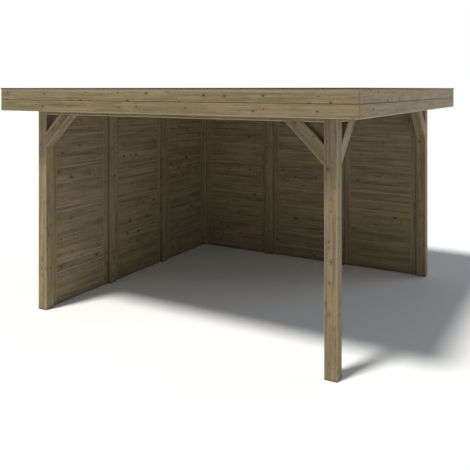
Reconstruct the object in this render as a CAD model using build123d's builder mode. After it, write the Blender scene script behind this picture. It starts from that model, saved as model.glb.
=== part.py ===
# Open timber gazebo with a flat roof: eight posts, a ring of beams on knee braces,
# panelled left and back walls, and a boarded roof with a two-board fascia.
# Millimetres. +X runs right along the open front, +Y runs back, +Z is up.
# The origin is on the ground, below the middle of the roof.
import os
from math import sqrt

from build123d import *

# Overall sizes
total_height = 2380
roof_width = 3900
roof_depth = 3900
roof_overhang = 268

# Posts, beams and braces
post_size = 112
post_chamfer = 3
beam_depth = 110
beam_thickness = 110
beam_chamfer = 6
brace_depth = 120
brace_thickness = 110
brace_chamfer = 6
brace_reach = 352

# Roof
trim_thickness = 5
trim_flange = 70
trim_lip = 10
covering_thickness = 3
deck_thickness = 20
deck_board_count = 32
deck_groove = 5
rafter_depth = 145
rafter_width = 45
rafter_count = 11
fascia_upper_height = 120
fascia_lower_height = 114
fascia_thickness = 28
fascia_chamfer = 4

# Walls
left_first_panel_share = 0.2783
left_second_panel_share = 0.29
back_first_panel_share = 0.3005
back_second_panel_share = 0.2806
panel_setback = 10
frame_thickness = 45
frame_chamfer = 3
stile_width = 90
rail_height = 80
strip_width = 66
strip_gap = 20
strip_gap_depth = 8
strip_chamfer = 3
wall_board_thickness = 20
wall_board_width = 126
lowest_board_width = 95
wall_groove = 5

# Levels, from the roof's edge down
fascia_top = total_height - trim_thickness
deck_top = fascia_top - covering_thickness
rafter_top = deck_top - deck_thickness
beam_top = rafter_top - rafter_depth
beam_bottom = beam_top - beam_depth

# Plan sizes that several pieces share
roof_half_width = roof_width / 2
roof_half_depth = roof_depth / 2
posts_width = roof_width - 2 * roof_overhang
posts_depth = roof_depth - 2 * roof_overhang
post_centre_x = (posts_width - post_size) / 2
post_centre_y = (posts_depth - post_size) / 2
beam_centre_x = (posts_width - beam_thickness) / 2
beam_centre_y = (posts_depth - beam_thickness) / 2

up = Vector(0, 0, 1)
os.makedirs("parts", exist_ok=True)


# Corner posts, up to the underside of the rafters
corner_posts = {
    "post_front_left": (-post_centre_x, -post_centre_y),
    "post_front_right": (post_centre_x, -post_centre_y),
    "post_back_right": (post_centre_x, post_centre_y),
    "post_back_left": (-post_centre_x, post_centre_y),
}
for name, (post_x, post_y) in corner_posts.items():
    with BuildPart() as post:
        with BuildSketch(Plane.XY):
            with Locations((post_x, post_y)):
                Rectangle(post_size, post_size)
            chamfer(vertices(), length=post_chamfer)
        extrude(amount=beam_top)
    post.part.label = name
    export_step(post.part, f"parts/{name}.step")


# Beams between the corner posts, flush with their outer faces
beam_runs = {
    "beam_front": (Vector(0, -beam_centre_y), Vector(1, 0), posts_width),
    "beam_right": (Vector(beam_centre_x, 0), Vector(0, 1), posts_depth),
    "beam_back": (Vector(0, beam_centre_y), Vector(1, 0), posts_width),
    "beam_left": (Vector(-beam_centre_x, 0), Vector(0, 1), posts_depth),
}
for name, (centre, along, span) in beam_runs.items():
    middle = centre + up * (beam_bottom + beam_depth / 2)
    with BuildPart() as beam:
        with BuildSketch(Plane(middle, x_dir=up, z_dir=along)):
            Rectangle(beam_depth, beam_thickness)
            chamfer(vertices(), length=beam_chamfer)
        extrude(amount=span / 2 - post_size, both=True)
    beam.part.label = name
    export_step(beam.part, f"parts/{name}.step")


# Knee braces at 45 degrees, cut to sit flat on the post and under the beam.
# Each starts where its post's side meets the underside of its beam, and leans along the beam.
brace_cut = brace_depth * sqrt(2)
inner_x = posts_width / 2 - post_size
inner_y = posts_depth / 2 - post_size
brace_corners = {
    "brace_front_left": (Vector(-inner_x, -posts_depth / 2, beam_bottom), Vector(1, 0), Vector(0, 1)),
    "brace_front_right": (Vector(inner_x, -posts_depth / 2, beam_bottom), Vector(-1, 0), Vector(0, 1)),
    "brace_right_front": (Vector(posts_width / 2, -inner_y, beam_bottom), Vector(0, 1), Vector(-1, 0)),
    "brace_right_back": (Vector(posts_width / 2, inner_y, beam_bottom), Vector(0, -1), Vector(-1, 0)),
}
for name, (corner, lean, inward) in brace_corners.items():
    with BuildPart() as brace:
        with BuildSketch(Plane(corner, x_dir=lean, z_dir=lean.cross(up))):
            with BuildLine():
                Polyline(
                    (0, -brace_reach),
                    (0, brace_cut - brace_reach),
                    (brace_reach - brace_cut, 0),
                    (brace_reach, 0),
                    close=True,
                )
            make_face()
        extrude(amount=brace_thickness, dir=inward)
        slope = Axis((0, 0, 0), lean + up)
        chamfer(brace.edges().filter_by(slope), length=brace_chamfer)
    brace.part.label = name
    export_step(brace.part, f"parts/{name}.step")


# Rafters from front to back on the beams, the outer two against the side fascias
rafter_run = roof_depth - 2 * fascia_thickness
rafter_pitch = (roof_width - 2 * fascia_thickness - rafter_width) / (rafter_count - 1)
with BuildPart() as rafters:
    with BuildSketch(Plane.XZ):
        with Locations((0, beam_top + rafter_depth / 2)):
            with GridLocations(rafter_pitch, 0, rafter_count, 1):
                Rectangle(rafter_width, rafter_depth)
    extrude(amount=rafter_run / 2, both=True)
rafters.part.label = "roof_rafters"
export_step(rafters.part, "parts/roof_rafters.step")


# Roof boards across the rafters, with a V groove under each joint
deck_board = rafter_run / deck_board_count
with BuildPart() as deck:
    with BuildSketch(Plane.YZ):
        with Locations((0, rafter_top + deck_thickness / 2)):
            Rectangle(rafter_run, deck_thickness)
        with Locations((0, rafter_top)):
            with GridLocations(deck_board, 0, deck_board_count - 1, 1):
                Rectangle(deck_groove, deck_groove, rotation=45, mode=Mode.SUBTRACT)
    extrude(amount=roof_half_width - fascia_thickness, both=True)
deck.part.label = "roof_boards"
export_step(deck.part, "parts/roof_boards.step")


# Waterproof covering on the boards
with BuildPart() as covering:
    with BuildSketch(Plane.XY.offset(deck_top)):
        Rectangle(roof_width - 2 * fascia_thickness, rafter_run)
    extrude(amount=covering_thickness)
covering.part.label = "roof_covering"
export_step(covering.part, "parts/roof_covering.step")


# The four sides of the roof: the front and back run past the ends of the left and right
roof_sides = {
    "front": (Vector(0, -roof_half_depth), Vector(0, -1), roof_width, True),
    "right": (Vector(roof_half_width, 0), Vector(1, 0), roof_depth, False),
    "back": (Vector(0, roof_half_depth), Vector(0, 1), roof_width, True),
    "left": (Vector(-roof_half_width, 0), Vector(-1, 0), roof_depth, False),
}

# Fascia of two boards a side, with chamfered outer edges that leave a V groove between them
fascia_joint = fascia_top - fascia_upper_height
fascia_boards = {
    "upper": (fascia_joint, fascia_upper_height),
    "lower": (fascia_joint - fascia_lower_height, fascia_lower_height),
}
for side, (middle, outward, run, laps) in roof_sides.items():
    length = run if laps else run - 2 * fascia_thickness
    for row, (level, height) in fascia_boards.items():
        section = Plane(middle + up * level, x_dir=outward, z_dir=outward.cross(up))
        with BuildPart() as board:
            with BuildSketch(section) as profile:
                Rectangle(fascia_thickness, height, align=(Align.MAX, Align.MIN))
                chamfer(profile.vertices().group_by(Axis.X)[-1], length=fascia_chamfer)
            extrude(amount=length / 2, both=True)
        board.part.label = f"fascia_{side}_{row}"
        export_step(board.part, f"parts/fascia_{side}_{row}.step")


# Edge trim: a flange over the fascia and the covering's edge, with a lip down the fascia's face.
# The left and right flanges stop at the front and back ones; their lips run on to the corners.
for side, (middle, outward, run, laps) in roof_sides.items():
    flange_run = run + 2 * trim_thickness if laps else run - 2 * (trim_flange - trim_thickness)
    lip_run = run + 2 * trim_thickness if laps else run
    section = Plane(middle + up * total_height, x_dir=outward, z_dir=outward.cross(up))
    with BuildPart() as trim:
        with BuildSketch(section):
            with Locations((trim_thickness, 0)):
                Rectangle(trim_flange, trim_thickness, align=(Align.MAX, Align.MAX))
        extrude(amount=flange_run / 2, both=True)
        with BuildSketch(section):
            with Locations((trim_thickness, -trim_thickness)):
                Rectangle(trim_thickness, trim_lip - trim_thickness, align=(Align.MAX, Align.MAX))
        extrude(amount=lip_run / 2, both=True)
    trim.part.label = f"edge_trim_{side}"
    export_step(trim.part, f"parts/edge_trim_{side}.step")


# Walls: each starts at the outer face of its first post, and runs along its own X with its Y outwards.
# Two posts part each wall into three panels.
left_wall = Plane((-posts_width / 2, -posts_depth / 2, 0), x_dir=(0, 1, 0), z_dir=up)
back_wall = Plane((-posts_width / 2, posts_depth / 2, 0), x_dir=(1, 0, 0), z_dir=up)
walls = {
    "left": (left_wall, posts_depth, left_first_panel_share, left_second_panel_share),
    "back": (back_wall, posts_width, back_first_panel_share, back_second_panel_share),
}
boards_outer = -panel_setback - frame_thickness
boards_inner = boards_outer - wall_board_thickness
between_rails = beam_bottom - 2 * rail_height
strip_reach = strip_gap + strip_width
wall_board_joints = 1 + int((beam_bottom - lowest_board_width) // wall_board_width)
for wall_name, (wall, run, first_share, second_share) in walls.items():
    inwards = -wall.y_dir
    first_post = post_size + run * first_share
    second_post = first_post + post_size + run * second_share
    post_starts = [0, first_post, second_post, run - post_size]

    # Wall posts, up to the underside of the beam
    for number, start in enumerate(post_starts[1:-1], 1):
        with BuildPart() as post:
            with BuildSketch(wall):
                with Locations((start, 0)):
                    Rectangle(post_size, post_size, align=(Align.MIN, Align.MAX))
                chamfer(vertices(), length=post_chamfer)
            extrude(amount=beam_bottom)
        post.part.label = f"post_{wall_name}_{number}"
        export_step(post.part, f"parts/post_{wall_name}_{number}.step")

    for number, (before, after) in enumerate(zip(post_starts, post_starts[1:]), 1):
        start = before + post_size
        width = after - start

        # Outer frame of two stiles and two rails. An upright strip stands on the inside of each stile,
        # with a shallow gap between it and the post.
        between_stiles = width - 2 * stile_width
        strip_offset = (width - strip_width) / 2 - strip_gap
        gap_offset = (width - strip_gap) / 2
        frame_middle = wall.from_local_coords(Vector(start + width / 2, boards_outer, beam_bottom / 2))
        frame_plane = Plane(frame_middle, x_dir=wall.x_dir, z_dir=inwards)
        with BuildPart() as frame:
            with BuildSketch(frame_plane):
                Rectangle(width, beam_bottom)
                Rectangle(between_stiles, between_rails, mode=Mode.SUBTRACT)
            extrude(amount=-frame_thickness)
            outer_face = frame.faces().sort_by(Axis(frame_middle, inwards))[0]
            chamfer(outer_face.edges(), length=frame_chamfer)
            with BuildSketch(frame_plane):
                with Locations((-gap_offset, 0), (gap_offset, 0)):
                    Rectangle(strip_gap, beam_bottom)
            extrude(amount=wall_board_thickness - strip_gap_depth)
            with BuildSketch(frame_plane):
                with Locations((-strip_offset, 0), (strip_offset, 0)):
                    Rectangle(strip_width, beam_bottom)
            extrude(amount=wall_board_thickness)
            strip_faces = frame.faces().sort_by(Axis(frame_middle, inwards))[-2:]
            chamfer(strip_faces.edges().filter_by(Axis.Z), length=strip_chamfer)
        frame.part.label = f"{wall_name}_panel_{number}_frame"
        export_step(frame.part, f"parts/{wall_name}_panel_{number}_frame.step")

        # Level boards between the strips, the lowest and the highest cut to fit, grooved at each joint
        board_end = wall.from_local_coords(Vector(start + strip_reach, 0, 0))
        with BuildPart() as boards:
            with BuildSketch(Plane(board_end, x_dir=wall.y_dir, z_dir=wall.x_dir)):
                with Locations((boards_outer, 0)):
                    Rectangle(wall_board_thickness, beam_bottom, align=(Align.MAX, Align.MIN))
                for face in (boards_outer, boards_inner):
                    for joint in range(wall_board_joints):
                        with Locations((face, lowest_board_width + joint * wall_board_width)):
                            Rectangle(wall_groove, wall_groove, rotation=45, mode=Mode.SUBTRACT)
            extrude(amount=width - 2 * strip_reach)
        boards.part.label = f"{wall_name}_panel_{number}_boards"
        export_step(boards.part, f"parts/{wall_name}_panel_{number}_boards.step")
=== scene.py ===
import math
import random

import bpy
from mathutils import Matrix, Vector


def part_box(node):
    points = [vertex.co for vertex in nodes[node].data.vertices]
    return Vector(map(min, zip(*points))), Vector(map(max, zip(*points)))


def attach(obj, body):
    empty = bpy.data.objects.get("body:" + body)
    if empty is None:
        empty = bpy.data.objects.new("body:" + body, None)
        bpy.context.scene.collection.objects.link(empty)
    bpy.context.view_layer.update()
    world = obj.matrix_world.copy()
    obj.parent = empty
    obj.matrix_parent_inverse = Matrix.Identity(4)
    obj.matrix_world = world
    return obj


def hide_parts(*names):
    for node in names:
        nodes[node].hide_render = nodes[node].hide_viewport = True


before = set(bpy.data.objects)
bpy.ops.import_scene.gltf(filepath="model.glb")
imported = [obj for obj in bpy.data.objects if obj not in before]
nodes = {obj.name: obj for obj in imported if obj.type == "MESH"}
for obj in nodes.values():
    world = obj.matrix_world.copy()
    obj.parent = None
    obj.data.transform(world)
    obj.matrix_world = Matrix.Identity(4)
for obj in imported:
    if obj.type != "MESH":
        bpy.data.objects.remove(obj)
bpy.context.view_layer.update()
print("frame loaded:", len(nodes), "nodes")


class Wire:  # one output socket, with sums that add their own nodes
    def __init__(self, sheet, socket):
        self.sheet = sheet
        self.socket = socket

    def out(self, name):  # another output of the same node
        return Wire(self.sheet, self.socket.node.outputs[name])

    def apply(self, operation, *others):
        return self.sheet.maths(operation, self, *others)

    def size(self):
        return self.apply("ABSOLUTE")

    def __add__(self, other):
        return self.apply("ADD", other)

    def __sub__(self, other):
        return self.apply("SUBTRACT", other)

    def __mul__(self, other):
        return self.apply("MULTIPLY", other)

    def __truediv__(self, other):
        return self.apply("DIVIDE", other)

    def __lt__(self, other):
        return self.apply("LESS_THAN", other)

    def __gt__(self, other):
        return self.apply("GREATER_THAN", other)

    def __radd__(self, other):
        return self.sheet.maths("ADD", other, self)

    def __rsub__(self, other):
        return self.sheet.maths("SUBTRACT", other, self)

    def __rmul__(self, other):
        return self.sheet.maths("MULTIPLY", other, self)


class Sheet:  # a node tree of a material, of the world or of geometry nodes
    def __init__(self, tree):
        self.tree = tree
        tree.nodes.clear()

    def add(self, kind, settings=None, sockets=None, out=0):
        node = self.tree.nodes.new(kind)
        for key, value in (settings or {}).items():
            setattr(node, key, value)
        for key, value in (sockets or {}).items():
            if isinstance(value, Wire):
                self.tree.links.new(value.socket, node.inputs[key])
            else:
                node.inputs[key].default_value = value
        return Wire(self, node.outputs[out]) if len(node.outputs) else node

    def maths(self, operation, *terms):
        return self.add("ShaderNodeMath", {"operation": operation}, dict(enumerate(terms)))

    def vector(self, operation, *terms, out=0):
        return self.add("ShaderNodeVectorMath", {"operation": operation}, dict(enumerate(terms)), out)

    def join(self, *numbers):  # a vector from three numbers
        return self.add("ShaderNodeCombineXYZ", {}, dict(enumerate(numbers)))

    def parts(self, vector):  # the three numbers of a vector
        split = self.add("ShaderNodeSeparateXYZ", {}, {0: vector})
        return split, split.out("Y"), split.out("Z")

    def mix(self, share, first, second, blend="MIX"):
        settings = {"data_type": "RGBA", "blend_type": blend}
        return self.add("ShaderNodeMix", settings, {0: share, 6: first, 7: second}, 2)

    def band(self, value, low, high, first=0.0, last=1.0):  # a smooth step
        return self.add("ShaderNodeMapRange", {"interpolation_type": "SMOOTHSTEP"},
                        {0: value, 1: low, 2: high, 3: first, 4: last})

    def noise(self, place, stretch, detail, rough, twist=0.0):
        return self.add("ShaderNodeTexNoise", {"noise_dimensions": "3D"},
                        {"Vector": self.vector("MULTIPLY", place, stretch), "Scale": 1.0,
                         "Detail": detail, "Roughness": rough, "Distortion": twist})

    def objectPlace(self):
        return self.add("ShaderNodeTexCoord", {}, out="Object")

    def attribute(self, name, out):  # read in a material
        return self.add("ShaderNodeAttribute", {"attribute_name": name}, out=out)

    def stored(self, name):  # a vector read in geometry nodes
        return self.add("GeometryNodeInputNamedAttribute", {"data_type": "FLOAT_VECTOR"}, {"Name": name})

    def store(self, geometry, name, value, kind="FLOAT_VECTOR", domain="POINT"):
        return self.add("GeometryNodeStoreNamedAttribute", {"data_type": kind, "domain": domain},
                        {"Geometry": geometry, "Name": name, "Value": value})

    def close(self, sockets):
        shader = self.add("ShaderNodeBsdfPrincipled", {}, sockets)
        self.add("ShaderNodeOutputMaterial", {}, {0: shader})


def newFinish(name):
    material = bpy.data.materials.new(name)
    material.use_nodes = True
    return material, Sheet(material.node_tree)


def paint(colour):  # a screen colour 0-255 as linear light
    screen = [part / 255 for part in colour]
    linear = [part / 12.92 if part <= 0.04045 else ((part + 0.055) / 1.055) ** 2.4 for part in screen]
    return (*linear, 1.0)


def between(pair, share):
    return pair[0] + (pair[1] - pair[0]) * share


# weathered softwood: figure, fibres, stains, knots, worn edges with painted highlights, dark ends and
# joints, painted shade under the trim's lip and on wall posts' sides, and a darker foot that is partly
# painted contact shade
timber = {
    "pale": (149, 133, 102),
    "dark": (99, 85, 60),
    "warm": (133, 113, 82),
    "grey": (126, 116, 91),
    "brown": (98, 75, 48),
    "knot": (54, 40, 26),
    # pale worn wood, used for painted highlights on edges and for light streaks
    "rubbed": (176, 162, 134),
    # dark stain, used for dark ends and joints and for painted shade
    "damp": (67, 56, 38),
    "fibre": (9.0, 260.0, 260.0),  # noise per metre along, across and through the grain
    "stain": (5.0, 11.0, 11.0),
    "lines": (0.35, 26.0, 26.0),
    "figureNoise": (4.0, 0.62, 0.35),  # detail, roughness and twist
    "fibreNoise": (2.0, 0.6),
    "stainNoise": (4.0, 0.6, 0.4),
    "lineNoise": (1.0, 0.5),
    "figureShare": 0.55,  # these three make the wood pale or dark, about the middle
    "fibreShare": 0.2,
    "stainShare": 0.25,
    "middle": 0.505,
    "warmBand": (0.48, 0.70),
    "warmShare": 0.5,
    "greyBand": (0.50, 0.30),
    "greyShare": 0.45,
    "lineBand": (0.60, 0.70),
    "boardCell": (0.20, 0.075, 0.075),  # one knot at most in each cell, in metres
    "squareCell": (0.09, 0.050, 0.050),
    "knotSquash": 0.7,  # under 1, a knot is longer along the grain
    "coreBand": (0.35, 1.15),  # in knot radii
    "coreShare": 0.85,
    "haloBand": (0.6, 2.8),
    "haloShare": 0.40,
    "swerve": 0.02,  # metres that the grain bends by at a knot
    "ragged": 0.012,  # metres that worn edges wander by
    "endRaggedShare": 0.5,
    "seamFullShare": 0.6,  # of a seam's width, before it fades
    "flankBand": (0.002, 0.005),
    "footHeight": 0.035,
    "toneDrift": (37.0, 19.0, 23.0),  # metres that a loose bar's pattern moves by, times its tone
    "wornPick": 7.31,  # the fraction of this times the tone picks the bars with bright edges, wear and painted highlight
    "wornShare": 0.34,  # of the loose bars
    "roughness": 0.6,
    "figureRough": 0.3,
    "rubSmooth": 0.1,
    "specular": 0.25,
    "reliefStrength": 0.4,
    "reliefDepth": 0.002,
    "figureHeight": 0.6,
    "fibreHeight": 0.5,
    "knotDip": 0.6,
}


def knotMarks(sheet, wander, look):  # dark cores, and the brown halos round them
    cell = Vector(timber["squareCell"] if look["square"] else timber["boardCell"])
    flat = 1.0 if look["square"] else 0.0  # knots go right through a board
    packed = sheet.vector("DIVIDE", sheet.vector("MULTIPLY", wander, (1.0, 1.0, flat)), cell)
    spot = sheet.add("ShaderNodeTexVoronoi", {"voronoi_dimensions": "3D"}, {"Vector": packed, "Scale": 1.0})
    away = sheet.vector("MULTIPLY", sheet.vector("SUBTRACT", packed, spot.out("Position")),
                        (cell.x * timber["knotSquash"], cell.y, cell.z * flat))
    chance = sheet.add("ShaderNodeSeparateColor", {}, {0: spot.out("Color")})
    radii = sheet.vector("LENGTH", away, out="Value") / between(look["knotSize"], chance)
    present = chance.out("Green") < look["knots"]
    core = sheet.band(radii, *timber["coreBand"], 1.0, 0.0) * present
    halo = sheet.band(radii, *timber["haloBand"], 1.0, 0.0) * present
    return core, halo


def timberFinish(name, layout, look):
    material, sheet = newFinish(name)
    objectPlace = sheet.objectPlace()
    if layout is None:  # loose bars carry their own places, half sizes and tones
        place = sheet.attribute("grain", "Vector")
        halfLong, halfWide, halfThick = sheet.parts(sheet.attribute("half", "Vector"))
        tone = sheet.attribute("tone", "Fac")
        drift = sheet.join(*(tone * far for far in timber["toneDrift"]))
        lightness = 1.0 - look["spread"] + tone * (2 * look["spread"])
        # the bars picked for bright edges get more wear and painted highlight
        wear = between(look["wear"], (tone * timber["wornPick"]).apply("FRACT") < timber["wornShare"])
    else:
        place = sheet.add("ShaderNodeMapping", {"vector_type": "POINT"},
                          {0: objectPlace, "Location": layout["shift"], "Rotation": layout["turn"]})
        halfLong, halfWide, halfThick = layout["half"]
        drift = layout["drift"]
        lightness = layout["tone"]
        wear = 1.0
    along, across, through = sheet.parts(place)
    wander = sheet.vector("ADD", place, drift)
    core, halo = knotMarks(sheet, wander, look)

    bend = halo * timber["swerve"]
    swerved = sheet.vector("ADD", wander, sheet.join(0.0, bend, bend))
    figure = sheet.noise(swerved, look["figure"], *timber["figureNoise"])
    fibre = sheet.noise(swerved, timber["fibre"], *timber["fibreNoise"])
    stain = sheet.noise(wander, timber["stain"], *timber["stainNoise"])
    lines = sheet.noise(swerved, timber["lines"], *timber["lineNoise"])
    blend = figure * timber["figureShare"] + fibre * timber["fibreShare"] + stain * timber["stainShare"]
    paleness = sheet.band(blend, timber["middle"] - look["span"], timber["middle"] + look["span"])

    ragged = (figure - 0.5) * timber["ragged"]
    under = across < 0.0
    aside = halfWide - across.size()
    edge = aside.apply("MAXIMUM", halfThick - through.size())
    # light worn edges with a painted highlight along the long edges
    rub = sheet.band(edge + ragged, 0.0, look["rubWidth"], 1.0, 0.0) * between(look["rub"], under) * wear
    # dark joints along the long edges, and painted shadow under the trim's lip on the side fascias' upper
    # edge
    seam = sheet.band(edge, look["seamWidth"] * timber["seamFullShare"], look["seamWidth"], 1.0, 0.0)
    seam = seam * between(look["seam"], under)
    end = sheet.band(halfLong - along.size() + ragged * timber["endRaggedShare"],
                     0.0, look["endWidth"], look["end"], 0.0)
    # painted shade on the side faces of wall posts, beside the panels
    flank = sheet.band(aside, *timber["flankBand"], look["flank"], 0.0)
    # darker towards the ground: a damp stain and painted contact shade
    foot = sheet.band(sheet.parts(objectPlace)[2] + ragged, 0.0, timber["footHeight"], look["foot"], 0.0)

    coats = [  # laid one over the other
        (sheet.band(stain, *timber["warmBand"]) * timber["warmShare"], "warm"),
        (sheet.band(stain, *timber["greyBand"]) * timber["greyShare"], "grey"),
        (sheet.band(lines, *timber["lineBand"]) * look["lines"], "rubbed"),
        (halo * timber["haloShare"], "brown"),
        (core * timber["coreShare"], "knot"),
        (rub, "rubbed"),
        (seam, "damp"),
        (end, "damp"),
        (flank, "damp"),
        (foot, "damp"),
    ]
    wood = sheet.mix(paleness, paint(timber["dark"]), paint(timber["pale"]))
    for share, colour in coats:
        wood = sheet.mix(share, wood, paint(timber[colour]))
    shade = sheet.add("ShaderNodeCombineColor", {}, {0: lightness, 1: lightness, 2: lightness})
    wood = sheet.mix(1.0, wood, shade, "MULTIPLY")

    height = figure * timber["figureHeight"] + fibre * timber["fibreHeight"] - core * timber["knotDip"]
    relief = sheet.add("ShaderNodeBump", {}, {"Strength": timber["reliefStrength"],
                                              "Distance": timber["reliefDepth"], "Height": height})
    roughness = timber["roughness"] + figure * timber["figureRough"] - rub * timber["rubSmooth"]
    sheet.close({"Base Color": wood, "Roughness": roughness, "Normal": relief,
                 "Specular IOR Level": timber["specular"]})
    return material


# rub and seam: light wear with painted highlights, and dark joints with painted shadow under the trim's lip,
# at the upper and lower long edges
plainLook = {
    "square": True,  # a board, which isn't square, has its knots right through
    "knots": 0.8,  # share of the cells that have one
    "knotSize": (0.004, 0.012),
    "figure": (1.5, 46.0, 46.0),  # noise per metre
    "span": 0.155,  # a narrow one gives more contrast
    "rub": (0.45, 0.45),
    "rubWidth": 0.012,
    "wear": (1.0, 1.0),  # times the rub and its painted highlight, on most loose bars and on the ones picked for bright edges
    "seam": (0.0, 0.0),
    "seamWidth": 0.005,
    "end": 0.0,  # darkness of the ends, of the foot (damp stain and painted contact shade), and painted shade on the two side faces
    "endWidth": 0.010,
    "foot": 0.0,
    "flank": 0.0,
    "lines": 0.1,  # strength of the light streaks
    "spread": 0.05,  # of lightness, from one loose bar to another
}
boardLook = {**plainLook, "square": False, "knots": 0.5}
fasciaLook = {**boardLook, "span": 0.175, "rubWidth": 0.014, "seamWidth": 0.006, "end": 0.3}
# rub is worn edges with painted highlights, strongest on posts, on the fascias' upper and lower edges and on
# picked wall boards; the side fascias' upper seam is painted shadow under the trim's lip; flank is painted
# shade on wall posts' sides
looks = {
    "post": {**plainLook, "rub": (0.7, 0.7), "rubWidth": 0.009, "end": 0.4, "foot": 0.35},
    "wallPost": {**plainLook, "end": 0.4, "foot": 0.35, "rub": (0.2, 0.2), "flank": 0.2},
    "beam": {**plainLook, "knots": 0.7, "rub": (0.3, 0.6)},
    "brace": {**plainLook, "rub": (0.5, 0.5)},
    "fasciaUpper": {**fasciaLook, "knots": 0.42, "rub": (0.52, 0.0), "rubWidth": 0.046, "seam": (0.0, 0.4)},
    "fasciaSideUpper": {**fasciaLook, "knots": 0.42, "rub": (0.1, 0.0),
                        "seam": (0.7, 0.4), "seamWidth": 0.010},
    "fasciaLower": {**fasciaLook, "knots": 0.35, "rub": (0.0, 0.6), "seam": (0.4, 0.0)},
    "wallBoard": {**boardLook, "knots": 0.14, "knotSize": (0.007, 0.017), "figure": (1.2, 28.0, 28.0),
                  "rub": (0.35, 0.15), "rubWidth": 0.010, "wear": (0.5, 2.4), "seam": (0.0, 0.3),
                  "seamWidth": 0.006, "end": 0.3, "foot": 0.6, "lines": 0.3},
    "slat": {**boardLook, "knots": 0.25, "end": 0.5, "foot": 0.4, "spread": 0.06},
    "roofBoard": {**boardLook, "rub": (0.15, 0.15), "rubWidth": 0.008, "end": 0.3, "spread": 0.08},
}

upright = Vector((0, 0, 1))
outward = {
    "front": Vector((0, -1, 0)),
    "right": Vector((1, 0, 0)),
    "back": Vector((0, 1, 0)),
    "left": Vector((-1, 0, 0)),
}
sideRun = {  # the level way along each side
    "front": Vector((1, 0, 0)),
    "right": Vector((0, 1, 0)),
    "back": Vector((1, 0, 0)),
    "left": Vector((0, 1, 0)),
}
grain = {
    "tones": {"post_front_left": 1.12, "post_front_right": 0.95, "post_back_right": 1.09},  # unlike the rest
    "toneRange": (0.97, 1.03),
    "drift": 9.0,  # metres that a pattern moves by, either way
    "seed": 11,
}
draw = random.Random(grain["seed"])


def boxOf(node):
    low, high = (Vector(corner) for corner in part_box(node))
    return low, high, (low + high) / 2


def braceLean(node):  # the level way from a brace's foot to its head
    run = sideRun[node.split("_")[1]]
    return run if node.endswith(("_left", "right_front")) else -run


def grainLayout(node, along, across):  # centres a node's pattern on its own timber
    first = along.normalized()
    second = across.normalized()
    turn = Matrix((first, second, first.cross(second)))
    corners = [turn @ vertex.co for vertex in nodes[node].data.vertices]
    low = Vector([min(corner[axis] for corner in corners) for axis in range(3)])
    high = Vector([max(corner[axis] for corner in corners) for axis in range(3)])
    drift = [draw.uniform(-grain["drift"], grain["drift"]) for _ in range(3)]
    tone = draw.uniform(*grain["toneRange"])
    return {"turn": turn.to_euler("XYZ"), "shift": -(low + high) / 2, "half": (high - low) / 2,
            "drift": drift, "tone": grain["tones"].get(node, tone)}


def dress(node, material):
    slots = nodes[node].data.materials
    slots.clear()
    slots.append(material)


for node in sorted(nodes):
    kind, _, rest = node.partition("_")
    side = rest.split("_")[0]
    if kind == "post":
        along, across = upright, sideRun[side]
        kind = "wallPost" if node[-1].isdigit() else kind
    elif kind in ("beam", "fascia"):
        along, across = sideRun[side], upright
    elif kind == "brace":
        lean = braceLean(node)
        along, across = lean + upright, upright - lean
    else:
        continue
    if kind == "fascia":
        kind += "Side" if side in ("left", "right") and rest.endswith("upper") else ""
        kind += rest.split("_")[1].title()
    dress(node, timberFinish(node + "_timber", grainLayout(node, along, across), looks[kind]))
print("posts, beams, braces and fascias dressed")


def newTree(name, inputs, output):
    group = bpy.data.node_groups.new(name, "GeometryNodeTree")
    for label, kind in inputs.items():
        group.interface.new_socket(label, in_out="INPUT", socket_type="NodeSocket" + kind)
    group.interface.new_socket(output, in_out="OUTPUT", socket_type="NodeSocketGeometry")
    sheet = Sheet(group)
    return group, sheet, sheet.add("NodeGroupInput")


def endTree(sheet, entry, pieces):
    pieces = sheet.add("GeometryNodeSetShadeSmooth", {}, {"Geometry": pieces, "Shade Smooth": False})
    pieces = sheet.add("GeometryNodeSetMaterial", {}, {"Geometry": pieces, "Material": entry.out("Finish")})
    sheet.add("NodeGroupOutput", {}, {0: pieces})


# bars of timber set out on points, each with its own length, width and turn
def barTree():
    group, sheet, entry = newTree("timber_bars", {
        "Points": "Geometry", "Width": "Float", "Thickness": "Float",
        "Chamfer": "Float", "Seed": "Int", "Finish": "Material"}, "Bars")
    width, thickness = entry.out("Width"), entry.out("Thickness")
    section = sheet.add("GeometryNodeCurvePrimitiveQuadrilateral", {"mode": "RECTANGLE"},
                        {"Width": width, "Height": thickness})
    section = sheet.add("GeometryNodeFilletCurve", {"mode": "POLY"},
                        {"Curve": section, "Count": 1, "Radius": entry.out("Chamfer")})
    spine = sheet.add("GeometryNodeCurvePrimitiveLine", {"mode": "POINTS"},
                      {"Start": (-0.5, 0, 0), "End": (0.5, 0, 0)})
    bar = sheet.add("GeometryNodeCurveToMesh", {},
                    {"Curve": spine, "Profile Curve": section, "Fill Caps": True})
    bar = sheet.store(bar, "grain", sheet.add("GeometryNodeInputPosition"))
    stretch = sheet.stored("stretch")
    turn = sheet.add("FunctionNodeEulerToRotation", {}, {0: sheet.stored("turn")})
    bars = sheet.add("GeometryNodeInstanceOnPoints", {},
                     {"Points": entry.out("Points"), "Instance": bar, "Rotation": turn, "Scale": stretch})
    tone = sheet.add("FunctionNodeRandomValue", {"data_type": "FLOAT"}, {"Seed": entry.out("Seed")}, 1)
    bars = sheet.store(bars, "tone", tone, "FLOAT", "INSTANCE")
    bars = sheet.add("GeometryNodeRealizeInstances", {}, {"Geometry": bars})
    bars = sheet.store(bars, "grain", sheet.vector("MULTIPLY", sheet.stored("grain"), stretch))
    half = sheet.join(0.5, width * 0.5, thickness * 0.5)
    bars = sheet.store(bars, "half", sheet.vector("MULTIPLY", half, stretch))
    endTree(sheet, entry, bars)
    return group


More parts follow.
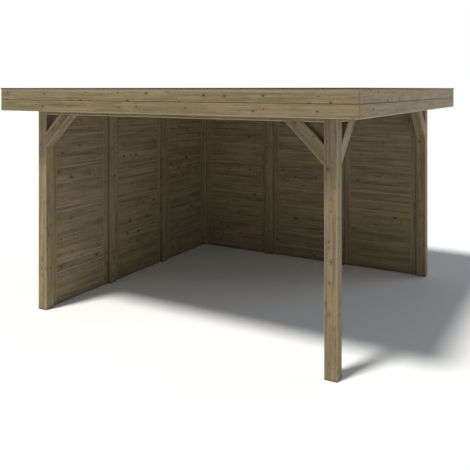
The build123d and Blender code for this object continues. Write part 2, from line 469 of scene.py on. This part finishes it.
def settle(holder, tree, inputs):  # runs a tree on an object and keeps the result as a plain mesh
    modifier = holder.modifiers.new("build", "NODES")
    modifier.node_group = tree
    for item in tree.interface.items_tree:
        if item.in_out == "INPUT" and item.name in inputs:
            modifier[item.identifier] = inputs[item.name]
    bpy.context.collection.objects.link(holder)
    graph = bpy.context.evaluated_depsgraph_get()
    mesh = bpy.data.meshes.new_from_object(holder.evaluated_get(graph),
                                           preserve_all_data_layers=True, depsgraph=graph)
    holder.modifiers.clear()
    scaffold = holder.data
    holder.data = mesh
    bpy.data.meshes.remove(scaffold)
    return holder


timberBars = barTree()


def layBars(name, shape, rows, finish, node):
    points = bpy.data.meshes.new(name + "_points")
    points.from_pydata([row["centre"] for row in rows], [], [])
    stretch = points.attributes.new("stretch", "FLOAT_VECTOR", "POINT")
    turn = points.attributes.new("turn", "FLOAT_VECTOR", "POINT")
    for index, row in enumerate(rows):
        along, across = row["along"], row["across"]
        stretch.data[index].vector = (row["length"], row.get("width", shape["width"]) / shape["width"],
                                      row.get("thickness", shape["thickness"]) / shape["thickness"])
        turn.data[index].vector = Matrix((along, across, along.cross(across))).transposed().to_euler("XYZ")
    piece = settle(bpy.data.objects.new(name, points), timberBars,
                   {"Width": shape["width"], "Thickness": shape["thickness"], "Chamfer": shape["chamfer"],
                    "Seed": shape["seed"], "Finish": finish})
    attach(piece, "root")
    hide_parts(node)


wallBoard = {
    "width": 0.126,
    "lowest": 0.095,
    "joint": 0.00005,  # keeps the faces of neighbours apart
    "thickness": 0.020,
    "chamfer": 0.0028,
    "seed": {"left": 3, "back": 43},
}


def boardRows(node, run):  # from the ground up, the lowest board narrower
    low, high, middle = boxOf(node)
    rows = []
    bottom, top = low.z, low.z + wallBoard["lowest"]
    while bottom < high.z:
        rows.append({"centre": (middle.x, middle.y, (bottom + top) / 2), "along": run, "across": upright,
                     "length": (high - low).dot(run), "width": top - bottom - wallBoard["joint"]})
        bottom, top = top, min(top + wallBoard["width"], high.z)
    return rows


outerFrame = {
    "width": 0.090,
    "rail": 0.080,
    "thickness": 0.045,
    "chamfer": 0.003,
    "seed": {"left": 5, "back": 55},
}
innerStrip = {  # upright, over the boards' ends, with a shallow gap to the post
    "width": 0.066,
    "thickness": 0.020,
    "gap": 0.020,
    "gapDepth": 0.008,
}


def frameRows(node, run, facing):  # stile, rail, strip and the gap's floor at each end
    low, high, middle = boxOf(node)
    length, height = (high - low).dot(run), high.z - low.z
    outer = middle + facing * innerStrip["thickness"] / 2
    inner = middle - facing * outerFrame["thickness"] / 2
    gapFloor = inner + facing * innerStrip["gapDepth"] / 2
    standing = {"along": upright, "across": run, "length": height}
    rows = []
    for end in (-1, 1):
        rows.append({**standing, "centre": outer + run * end * (length - outerFrame["width"]) / 2})
        rows.append({"centre": outer + upright * end * (height - outerFrame["rail"]) / 2,
                     "along": run, "across": upright, "length": length - 2 * outerFrame["width"],
                     "width": outerFrame["rail"]})
        rows.append({**standing,
                     "centre": inner + run * end * ((length - innerStrip["width"]) / 2 - innerStrip["gap"]),
                     "width": innerStrip["width"], "thickness": innerStrip["thickness"]})
        rows.append({**standing, "centre": gapFloor + run * end * (length - innerStrip["gap"]) / 2,
                     "width": innerStrip["gap"],
                     "thickness": innerStrip["thickness"] - innerStrip["gapDepth"]})
    return rows


boardFinish = timberFinish("wall_board_timber", None, looks["wallBoard"])
slatFinish = timberFinish("panel_frame_timber", None, looks["slat"])
closedSides = ("left", "back")
panelNumbers = (1, 2, 3)
for side in closedSides:
    for number in panelNumbers:
        panel = f"{side}_panel_{number}"
        layBars(panel + "_board_rows", {**wallBoard, "seed": wallBoard["seed"][side] + number},
                boardRows(panel + "_boards", sideRun[side]), boardFinish, panel + "_boards")
        layBars(panel + "_frame_bars", {**outerFrame, "seed": outerFrame["seed"][side] + number},
                frameRows(panel + "_frame", sideRun[side], outward[side]), slatFinish,
                panel + "_frame")
print("wall boards, frames and strips laid")

roofFinish = timberFinish("roof_timber_sawn", None, looks["roofBoard"])
roofBoard = {"count": 32, "joint": 0.00005, "thickness": 0.020, "chamfer": 0.0025, "seed": 21}
low, high, middle = boxOf("roof_boards")
pitch = (high.y - low.y) / roofBoard["count"]
deckRows = [{"centre": (middle.x, low.y + pitch * (row + 0.5), middle.z),
             "along": sideRun["front"], "across": sideRun["left"], "length": high.x - low.x}
            for row in range(roofBoard["count"])]
layBars("roof_board_rows", {**roofBoard, "width": pitch - roofBoard["joint"]}, deckRows, roofFinish,
        "roof_boards")

rafter = {"count": 11, "width": 0.145, "thickness": 0.045, "chamfer": 0.002, "seed": 23}
low, high, middle = boxOf("roof_rafters")
pitch = (high.x - low.x - rafter["thickness"]) / (rafter["count"] - 1)
rafterRows = [{"centre": (low.x + rafter["thickness"] / 2 + pitch * row, middle.y, middle.z),
               "along": sideRun["left"], "across": upright, "length": high.y - low.y}
              for row in range(rafter["count"])]
layBars("rafter_row", rafter, rafterRows, roofFinish, "roof_rafters")
print("roof boards and rafters laid")


# felt in strips, each lapping over the one in front of it
felt = {
    "strips": 4,
    "lap": 0.0018,
    "rise": 0.060,
    "dark": (34, 35, 37),
    "light": (70, 71, 72),
    "cloudy": (84, 84, 80),
    "cloudShare": 0.4,
    "faded": (88, 88, 84),
    "fadeShare": 0.3,
    "dirt": (20, 20, 20),
    "dirtShare": 0.8,
    "dirtWidth": 0.045,
    "dirtEnd": 1.005,  # in strips, at the next strip's edge
    "dirtWander": 0.01,
    "grit": (420.0, 420.0, 420.0),  # noise per metre
    "gritNoise": (2.0, 0.7),  # detail and roughness
    "gritBand": (0.3, 0.7),
    "cloud": (1.4, 2.2, 2.2),
    "cloudNoise": (4.0, 0.6),
    "cloudBand": (0.45, 0.75),
    "roughness": 0.8,
    "gritRough": 0.15,
    "specular": 0.3,
    "reliefStrength": 0.5,
    "reliefDepth": 0.001,
}


def feltFinish(start, stripWidth):
    material, sheet = newFinish("mineral_felt")
    place = sheet.objectPlace()
    grit = sheet.noise(place, felt["grit"], *felt["gritNoise"])
    cloud = sheet.noise(place, felt["cloud"], *felt["cloudNoise"])
    strips = (sheet.parts(place)[1] - start) / stripWidth
    within = strips.apply("FRACT")
    fade = sheet.add("ShaderNodeTexWhiteNoise", {"noise_dimensions": "1D"}, {"W": strips - within})
    dirtStart = felt["dirtEnd"] - felt["dirtWidth"] / stripWidth
    crease = sheet.band(within + cloud * felt["dirtWander"], dirtStart, felt["dirtEnd"],
                        0.0, felt["dirtShare"])
    coats = [
        (sheet.band(cloud, *felt["cloudBand"]) * felt["cloudShare"], "cloudy"),
        (fade * felt["fadeShare"], "faded"),
        (crease, "dirt"),
    ]
    colour = sheet.mix(sheet.band(grit, *felt["gritBand"]), paint(felt["dark"]), paint(felt["light"]))
    for share, coat in coats:
        colour = sheet.mix(share, colour, paint(felt[coat]))
    relief = sheet.add("ShaderNodeBump", {}, {"Strength": felt["reliefStrength"],
                                              "Distance": felt["reliefDepth"], "Height": grit})
    sheet.close({"Base Color": colour, "Roughness": felt["roughness"] + grit * felt["gritRough"],
                 "Normal": relief, "Specular IOR Level": felt["specular"]})
    return material


low, high, _ = boxOf("roof_covering")
stripWidth = (high.y - low.y) / felt["strips"]
profile = [(high.y, low.z), (low.y, low.z), (low.y, high.z)]
for strip in range(1, felt["strips"]):
    start = low.y + strip * stripWidth
    profile += [(start, high.z), (start, high.z + felt["lap"]), (start + felt["rise"], high.z + felt["lap"]),
                (start + 2 * felt["rise"], high.z)]
profile.append((high.y, high.z))
count = len(profile)
feltEnds = [tuple(range(count)), tuple(range(2 * count - 1, count - 1, -1))]
feltSides = [(row, row + count, (row + 1) % count + count, (row + 1) % count) for row in range(count)]
feltMesh = bpy.data.meshes.new("roof_felt")
feltMesh.from_pydata([(x, y, z) for x in (low.x, high.x) for y, z in profile], [], feltEnds + feltSides)
feltMesh.validate()
feltMesh.materials.append(feltFinish(low.y, stripWidth))
roofFelt = bpy.data.objects.new("roof_felt", feltMesh)
bpy.context.collection.objects.link(roofFelt)
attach(roofFelt, "root")
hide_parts("roof_covering")

trim = {
    "dark": (46, 41, 30),
    "light": (77, 69, 51),
    "dust": (6.0, 6.0, 30.0),  # noise per metre
    "dustNoise": (4.0, 0.6),  # detail and roughness
    "dustShare": 0.7,
    "speck": (160.0, 160.0, 160.0),
    "speckNoise": (2.0, 0.6),
    "speckShare": 0.3,
    "roughness": 0.55,
    "dustRough": 0.3,
    "specular": 0.25,
}


def trimFinish():
    material, sheet = newFinish("edge_trim_coat")
    place = sheet.objectPlace()
    dust = sheet.noise(place, trim["dust"], *trim["dustNoise"])
    speck = sheet.noise(place, trim["speck"], *trim["speckNoise"])
    colour = sheet.mix(dust * trim["dustShare"] + speck * trim["speckShare"],
                       paint(trim["dark"]), paint(trim["light"]))
    sheet.close({"Base Color": colour, "Roughness": trim["roughness"] + dust * trim["dustRough"],
                 "Specular IOR Level": trim["specular"]})
    return material


trimCoat = trimFinish()
for side in outward:
    dress("edge_trim_" + side, trimCoat)
print("roof felt and trim done")


# screw heads: a low cone with a sunk socket, turned to face out of the timber
screw = {
    "radius": 0.0045,
    "height": 0.0016,
    "corners": 10,
    "topShare": 0.8,
    "socketShare": 0.5,
    "bedShare": 0.5,  # of the height, let into the timber
    "sinkShare": 0.45,  # of the height, so that the socket's floor stays above the timber
    "edge": 0.028,  # from a fascia board's long edges
    "sideInset": 0.084,  # from the ends of the left and right fascias
    "sideCount": 9,
    "stripInset": 0.056,
    "stripCount": 5,
    "railSteps": (0.022, 0.058),
    "braceEnd": 0.080,
    "braceAside": 0.0168,
    "braceShiftShare": -0.2415,  # of half the brace's height, from its box to its own middle line
    "dark": (120, 108, 86),
    "light": (154, 143, 118),
    "bloom": (210.0, 210.0, 210.0),  # noise per metre
    "bloomNoise": (3.0, 0.6),  # detail and roughness
    "bloomBand": (0.35, 0.65),
    "roughness": 0.35,
    "bloomRough": 0.4,
    "metallic": 0.25,
}


def headTree():
    group, sheet, entry = newTree("screw_heads", {
        "Points": "Geometry", "Radius": "Float", "Height": "Float", "Finish": "Material"}, "Heads")
    radius, height = entry.out("Radius"), entry.out("Height")
    cone = sheet.add("GeometryNodeMeshCone", {"fill_type": "NGON"},
                     {"Vertices": screw["corners"], "Radius Top": radius * screw["topShare"],
                      "Radius Bottom": radius, "Depth": height})
    topFace = sheet.parts(sheet.add("GeometryNodeInputNormal"))[2] > 0.9  # the one that looks up
    rim = sheet.add("GeometryNodeExtrudeMesh", {"mode": "FACES"},
                    {"Mesh": cone, "Selection": topFace, "Offset Scale": 0.0, "Individual": False})
    socket = sheet.add("GeometryNodeScaleElements", {"domain": "FACE"},
                       {"Geometry": rim, "Selection": rim.out("Top"), "Scale": screw["socketShare"]})
    head = sheet.add("GeometryNodeExtrudeMesh", {"mode": "FACES"},
                     {"Mesh": socket, "Selection": rim.out("Top"),
                      "Offset Scale": height * -screw["sinkShare"], "Individual": False})
    turn = sheet.add("FunctionNodeEulerToRotation", {}, {0: sheet.stored("turn")})
    heads = sheet.add("GeometryNodeInstanceOnPoints", {},
                      {"Points": entry.out("Points"), "Instance": head, "Rotation": turn})
    heads = sheet.add("GeometryNodeRealizeInstances", {}, {"Geometry": heads})
    endTree(sheet, entry, heads)
    return group


def screwFinish():
    material, sheet = newFinish("coated_screws")
    bloom = sheet.noise(sheet.objectPlace(), screw["bloom"], *screw["bloomNoise"])
    colour = sheet.mix(sheet.band(bloom, *screw["bloomBand"]), paint(screw["dark"]), paint(screw["light"]))
    sheet.close({"Base Color": colour, "Roughness": screw["roughness"] + bloom * screw["bloomRough"],
                 "Metallic": screw["metallic"]})
    return material


screwCoat = screwFinish()
screwHeads = headTree()


def driveScrews(name, places):
    points = bpy.data.meshes.new(name + "_points")
    bed = screw["height"] * screw["bedShare"]
    points.from_pydata([spot - facing * bed for spot, facing in places], [], [])
    turn = points.attributes.new("turn", "FLOAT_VECTOR", "POINT")
    for index, (_, facing) in enumerate(places):
        turn.data[index].vector = facing.to_track_quat("Z", "Y").to_euler("XYZ")
    piece = settle(bpy.data.objects.new(name, points), screwHeads,
                   {"Radius": screw["radius"], "Height": screw["height"], "Finish": screwCoat})
    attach(piece, "root")


def evenly(count):  # shares from -1 to 1
    return [2 * index / (count - 1) - 1 for index in range(count)]


for side, facing in outward.items():
    places = []
    for row in ("upper", "lower"):
        low, high, middle = boxOf(f"fascia_{side}_{row}")
        face = middle + facing * abs((high - low).dot(facing)) / 2
        rise = (high.z - low.z) / 2 - screw["edge"]
        if side in ("front", "back"):  # into the rafters' ends
            stations = [bar["centre"][0] for bar in rafterRows]
        else:
            half = (high - low).dot(sideRun[side]) / 2 - screw["sideInset"]
            stations = [half * share for share in evenly(screw["sideCount"])]
        for station in stations:
            for end in (-1, 1):
                places.append((face + sideRun[side] * station + upright * end * rise, facing))
    driveScrews(f"fascia_{side}_screws", places)

for side in closedSides:
    places = []
    run, facing = sideRun[side], outward[side]
    for number in panelNumbers:
        low, high, middle = boxOf(f"{side}_panel_{number}_frame")
        deep = abs((high - low).dot(facing)) / 2
        wide = (high - low).dot(run) / 2
        tall = (high.z - low.z) / 2
        for end in (-1, 1):
            stripAside = wide - innerStrip["gap"] - innerStrip["width"] / 2
            stripLine = middle - facing * deep + run * end * stripAside
            for share in evenly(screw["stripCount"]):
                places.append((stripLine + upright * share * (tall - screw["stripInset"]), -facing))
            stileLine = middle + facing * deep + run * end * (wide - outerFrame["width"] / 2)
            for lift in (-1, 1):  # stile to rail, outside
                for step in screw["railSteps"]:
                    places.append((stileLine + upright * lift * (tall - step), facing))
    driveScrews(f"{side}_panel_screws", places)

for node in sorted(nodes):
    if not node.startswith("brace_"):
        continue
    low, high, middle = boxOf(node)
    facing, lean = outward[node.split("_")[1]], braceLean(node)
    reach = (high.z - low.z) / 2
    face = middle + facing * abs((high - low).dot(facing)) / 2
    face += (lean - upright) * screw["braceShiftShare"] * reach
    places = []
    for end in (-1, 1):
        spot = face + (lean + upright) * end * (reach - screw["braceEnd"])
        for aside in (-1, 1):
            places.append((spot + (lean - upright) * aside * screw["braceAside"], facing))
    driveScrews(node + "_screws", places)
print("screws driven")


# stage: floor, lamps, sky and camera
stageSet = {
    "floorReach": 60.0,
    "floorWhite": 0.97,
    "keyTravel": (0.19, 0.467, -1.0),
    "keyPower": 3.0,
    "keyAngle": 10.0,
    "keyColour": (1.0, 0.985, 0.94),
    "fillTravel": (-1.0, -1.0, -0.25),
    "fillPower": 0.86,
    "fillAngle": 40.0,
    "fillColour": (0.91, 0.97, 1.13),
    "horizon": (0.30, 0.365, 0.41),
    "zenith": (0.17, 0.16, 0.165),
    "backdrop": (1.0, 1.0, 1.0),
}
reach = stageSet["floorReach"]
floorMesh = bpy.data.meshes.new("floor")
floorMesh.from_pydata([(-reach, -reach, 0), (reach, -reach, 0), (reach, reach, 0), (-reach, reach, 0)], [],
                      [(0, 1, 2, 3)])
floor = bpy.data.objects.new("floor", floorMesh)
bpy.context.collection.objects.link(floor)
floorFinish, sheet = newFinish("floor_white")
white = stageSet["floorWhite"]
sheet.close({"Base Color": (white, white, white, 1.0), "Roughness": 1.0, "Specular IOR Level": 0.0})
floorMesh.materials.append(floorFinish)


def sunLamp(name):
    lamp = bpy.data.lights.new(name, "SUN")
    lamp.energy = stageSet[name + "Power"]
    lamp.angle = math.radians(stageSet[name + "Angle"])
    lamp.color = stageSet[name + "Colour"]
    holder = bpy.data.objects.new(name, lamp)
    holder.rotation_euler = Vector(stageSet[name + "Travel"]).to_track_quat("-Z", "Y").to_euler()
    bpy.context.collection.objects.link(holder)


sunLamp("key")
sunLamp("fill")

world = bpy.data.worlds.new("studio")
world.use_nodes = True
bpy.context.scene.world = world
sky = Sheet(world.node_tree)
heading = sky.parts(sky.add("ShaderNodeTexCoord", {}, out="Generated"))[2]
dome = sky.mix(sky.band(heading, 0.0, 1.0), (*stageSet["horizon"], 1.0), (*stageSet["zenith"], 1.0))
path = sky.add("ShaderNodeLightPath", {}, out="Is Camera Ray")
seen = path.apply("MAXIMUM", path.out("Is Glossy Ray"))
dome = sky.mix(seen, dome, (*stageSet["backdrop"], 1.0))
glow = sky.add("ShaderNodeBackground", {}, {"Color": dome, "Strength": 1.0})
sky.add("ShaderNodeOutputWorld", {}, {0: glow})

view = {
    "sensor": 36.0,
    "focal": 47.538,
    "shiftX": 0.02926,
    "shiftY": -0.31108,
    "clipEnd": 200.0,
    "place": (3.3937, -6.4732, 2.3713),
    "tilt": 90.0,  # level
    "turn": 30.241,
}
camera = bpy.data.cameras.new("camera")
camera.sensor_width = view["sensor"]
camera.lens = view["focal"]
camera.shift_x = view["shiftX"]
camera.shift_y = view["shiftY"]
camera.clip_end = view["clipEnd"]
eye = bpy.data.objects.new("camera", camera)
eye.location = view["place"]
eye.rotation_euler = (math.radians(view["tilt"]), 0, math.radians(view["turn"]))
bpy.context.collection.objects.link(eye)
bpy.context.scene.camera = eye
bpy.context.scene.view_settings.view_transform = "Standard"
print("stage set")
